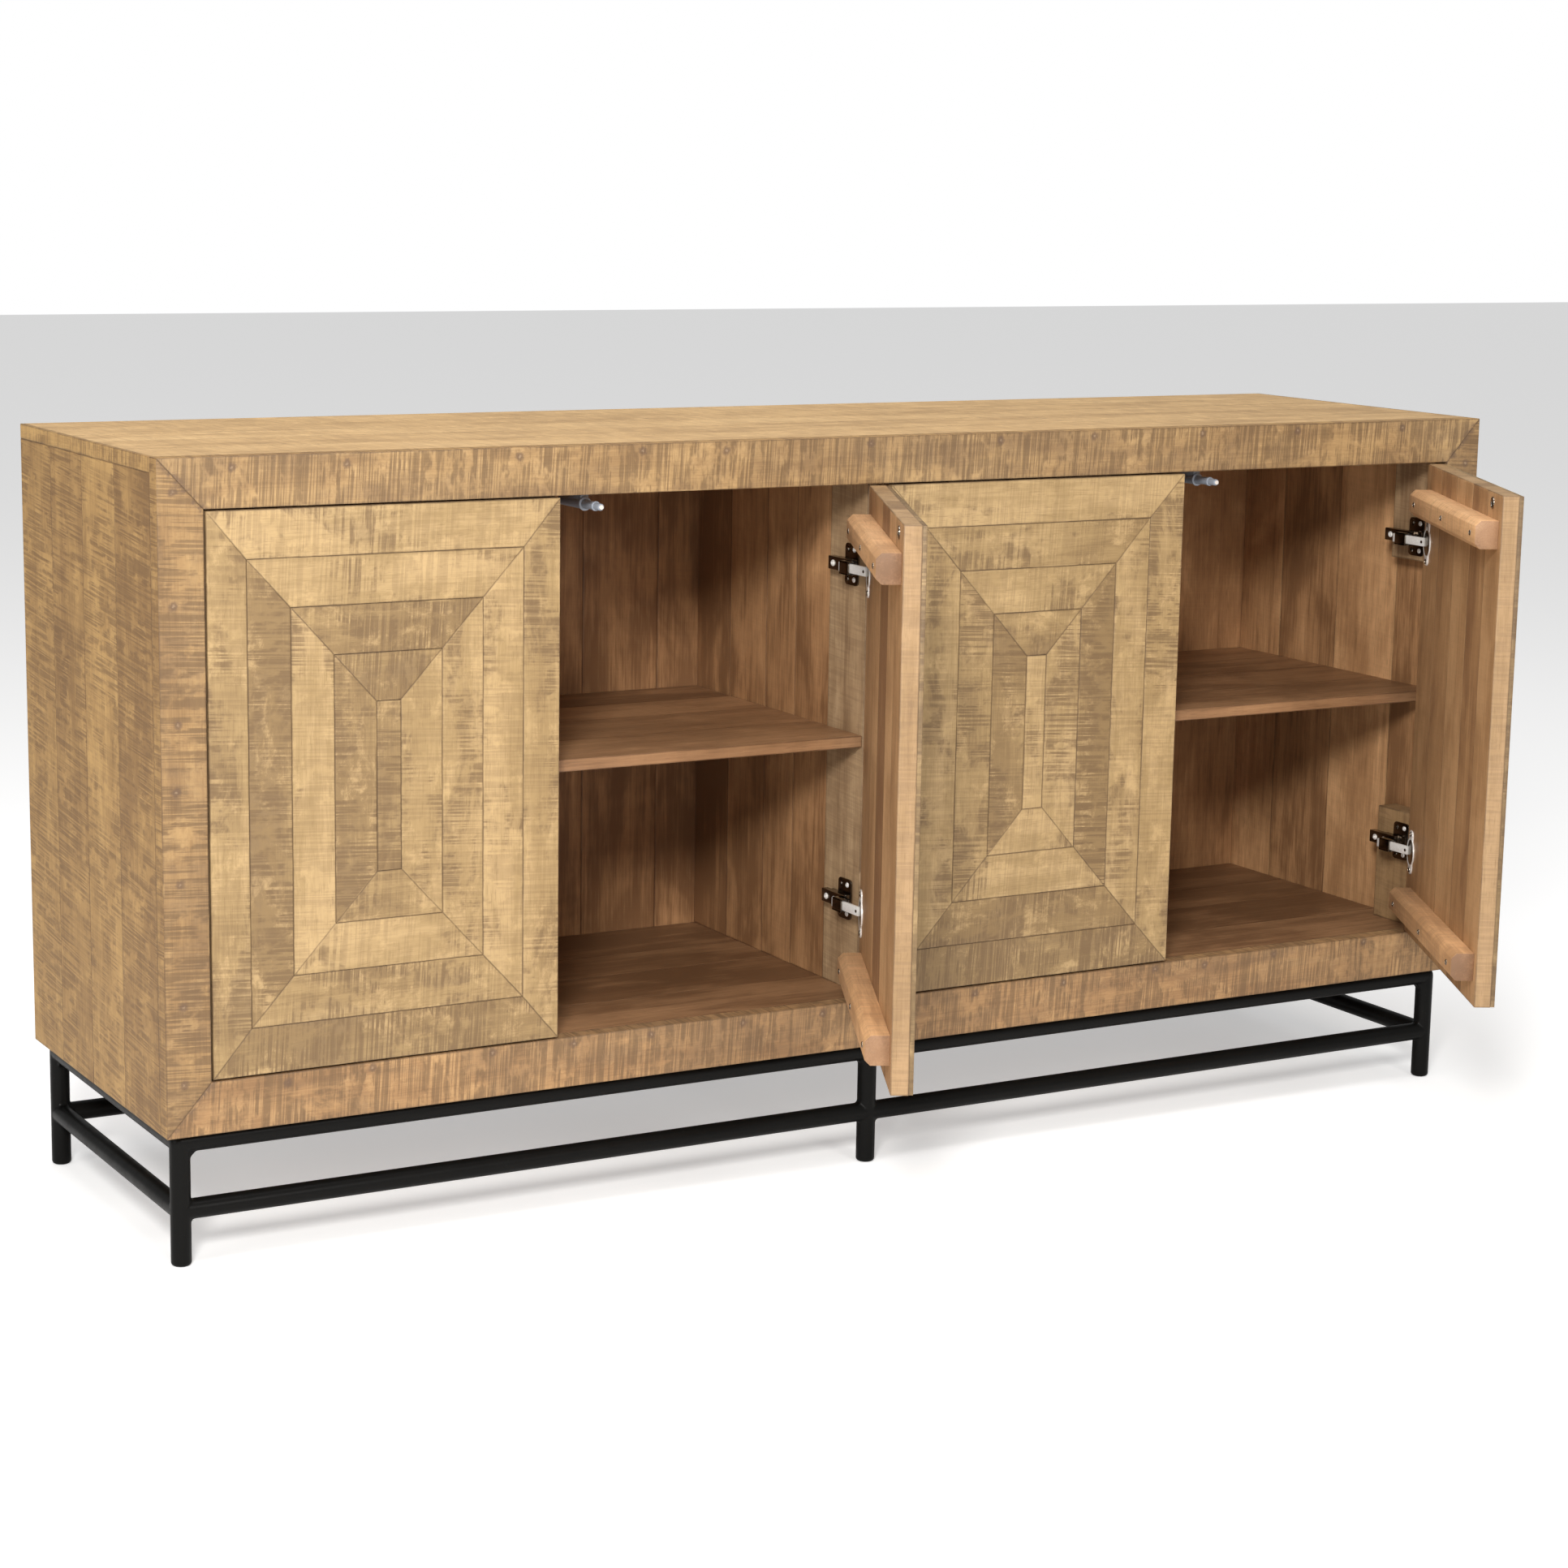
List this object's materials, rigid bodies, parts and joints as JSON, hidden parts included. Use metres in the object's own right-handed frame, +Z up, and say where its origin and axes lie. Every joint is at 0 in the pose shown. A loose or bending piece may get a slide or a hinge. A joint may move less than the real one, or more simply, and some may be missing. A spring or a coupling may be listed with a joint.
{
  "type": "sideboard buffet",
  "caption": "Long wooden sideboard with framed doors of concentric mitred boards on push latches, standing on a welded round-tube base.",
  "frame": {"origin": "centre of the sole of the front middle foot, on the floor", "axes": "+X along the front to the right as seen from the front, +Y from the front to the back, +Z up"},
  "size_m": [1.8, 0.8584, 0.89],
  "materials": {
    "exterior_wood": "oiled, with saw marks",
    "interior_wood": "smooth oiled",
    "pale_wood": "planed",
    "black_iron": "satin black",
    "nickel_steel": "nickel plated",
    "grey_plastic": "matt"
  },
  "bodies": {
    "root": {"back_panel": "interior_wood", "base_screws": "nickel_steel", "bottom_bearers": "pale_wood", "bottom_panel": "interior_wood", "bottom_rail": "exterior_wood", "centre_partition": "interior_wood", "centre_post": "interior_wood", "hinge_arms": "nickel_steel", "hinge_blocks_left": "interior_wood", "hinge_blocks_right": "interior_wood", "hinge_plates": "nickel_steel", "latch_housings": "grey_plastic", "latch_rail": "interior_wood", "leg_back_left": "black_iron", "leg_back_middle": "black_iron", "leg_back_right": "black_iron", "leg_front_left": "black_iron", "leg_front_middle": "black_iron", "leg_front_right": "black_iron", "mounting_tabs": "black_iron", "ring_back": "black_iron", "ring_front": "black_iron", "ring_left": "black_iron", "ring_right": "black_iron", "shelf_left": "interior_wood", "shelf_right": "interior_wood", "side_panel_left": "exterior_wood", "side_panel_right": "exterior_wood", "stile_left": "exterior_wood", "stile_right": "exterior_wood", "stretcher_back": "black_iron", "stretcher_front": "black_iron", "stretcher_left": "black_iron", "stretcher_right": "black_iron", "top_panel": "exterior_wood", "top_rail": "exterior_wood"},
    "door_left": {"door_left_cleats": "pale_wood", "door_left_core": "interior_wood", "door_left_face_boards": "exterior_wood", "door_left_hardware": "nickel_steel"},
    "link_left": {"link_left": "nickel_steel"},
    "plunger_left": {"plunger_left": "grey_plastic"},
    "door_centre_left": {"door_centre_left_cleats": "pale_wood", "door_centre_left_core": "interior_wood", "door_centre_left_face_boards": "exterior_wood", "door_centre_left_hardware": "nickel_steel"},
    "link_centre_left": {"link_centre_left": "nickel_steel"},
    "plunger_centre_left": {"plunger_centre_left": "grey_plastic"},
    "door_centre_right": {"door_centre_right_cleats": "pale_wood", "door_centre_right_core": "interior_wood", "door_centre_right_face_boards": "exterior_wood", "door_centre_right_hardware": "nickel_steel"},
    "link_centre_right": {"link_centre_right": "nickel_steel"},
    "plunger_centre_right": {"plunger_centre_right": "grey_plastic"},
    "door_right": {"door_right_cleats": "pale_wood", "door_right_core": "interior_wood", "door_right_face_boards": "exterior_wood", "door_right_hardware": "nickel_steel"},
    "link_right": {"link_right": "nickel_steel"},
    "plunger_right": {"plunger_right": "grey_plastic"}
  },
  "joints": [
    {"name": "door_left_hinge", "type": "hinge", "parent": "root", "child": "door_left", "pos_m": [-0.85, -0.0285, 0.52245], "axis": [0, 0, -1], "range_deg": [0, 105]},
    {"name": "link_left_slide", "type": "slide", "parent": "root", "child": "link_left", "axis": [0, -1, 0], "range_m": [-0.0005, 0.05676]},
    {"name": "plunger_left_slide", "type": "slide", "parent": "root", "child": "plunger_left", "axis": [0, -1, 0], "range_m": [-0.0005, 0.03752]},
    {"name": "door_centre_left_hinge", "type": "hinge", "parent": "root", "child": "door_centre_left", "pos_m": [0.002, -0.0285, 0.52245], "axis": [0, 0, 1], "range_deg": [-63.8, 26.2]},
    {"name": "link_centre_left_slide", "type": "slide", "parent": "root", "child": "link_centre_left", "axis": [0, -1, 0], "range_m": [-0.03469, 0.01454]},
    {"name": "plunger_centre_left_slide", "type": "slide", "parent": "root", "child": "plunger_centre_left", "axis": [0, -1, 0], "range_m": [-0.02299, 0.00974]},
    {"name": "door_centre_right_hinge", "type": "hinge", "parent": "root", "child": "door_centre_right", "pos_m": [-0.002, -0.0285, 0.52245], "axis": [0, 0, -1], "range_deg": [0, 90]},
    {"name": "link_centre_right_slide", "type": "slide", "parent": "root", "child": "link_centre_right", "axis": [0, -1, 0], "range_m": [-0.0005, 0.04872]},
    {"name": "plunger_centre_right_slide", "type": "slide", "parent": "root", "child": "plunger_centre_right", "axis": [0, -1, 0], "range_m": [-0.0005, 0.03223]},
    {"name": "door_right_hinge", "type": "hinge", "parent": "root", "child": "door_right", "pos_m": [0.85, -0.0285, 0.52245], "axis": [0, 0, 1], "range_deg": [-61.7, 43.3]},
    {"name": "link_right_slide", "type": "slide", "parent": "root", "child": "link_right", "axis": [0, -1, 0], "range_m": [-0.03356, 0.0237]},
    {"name": "plunger_right_slide", "type": "slide", "parent": "root", "child": "plunger_right", "axis": [0, -1, 0], "range_m": [-0.02225, 0.01577]}
  ],
  "couplings": [
    {"joint": "link_left_slide", "follows": "door_left_hinge", "m_per_rad": 0.0307},
    {"joint": "plunger_left_slide", "follows": "door_left_hinge", "m_per_rad": 0.0202},
    {"joint": "link_centre_left_slide", "follows": "door_centre_left_hinge", "m_per_rad": 0.0307},
    {"joint": "plunger_centre_left_slide", "follows": "door_centre_left_hinge", "m_per_rad": 0.0202},
    {"joint": "link_centre_right_slide", "follows": "door_centre_right_hinge", "m_per_rad": 0.0307},
    {"joint": "plunger_centre_right_slide", "follows": "door_centre_right_hinge", "m_per_rad": 0.0202},
    {"joint": "link_right_slide", "follows": "door_right_hinge", "m_per_rad": 0.0307},
    {"joint": "plunger_right_slide", "follows": "door_right_hinge", "m_per_rad": 0.0202}
  ]
}
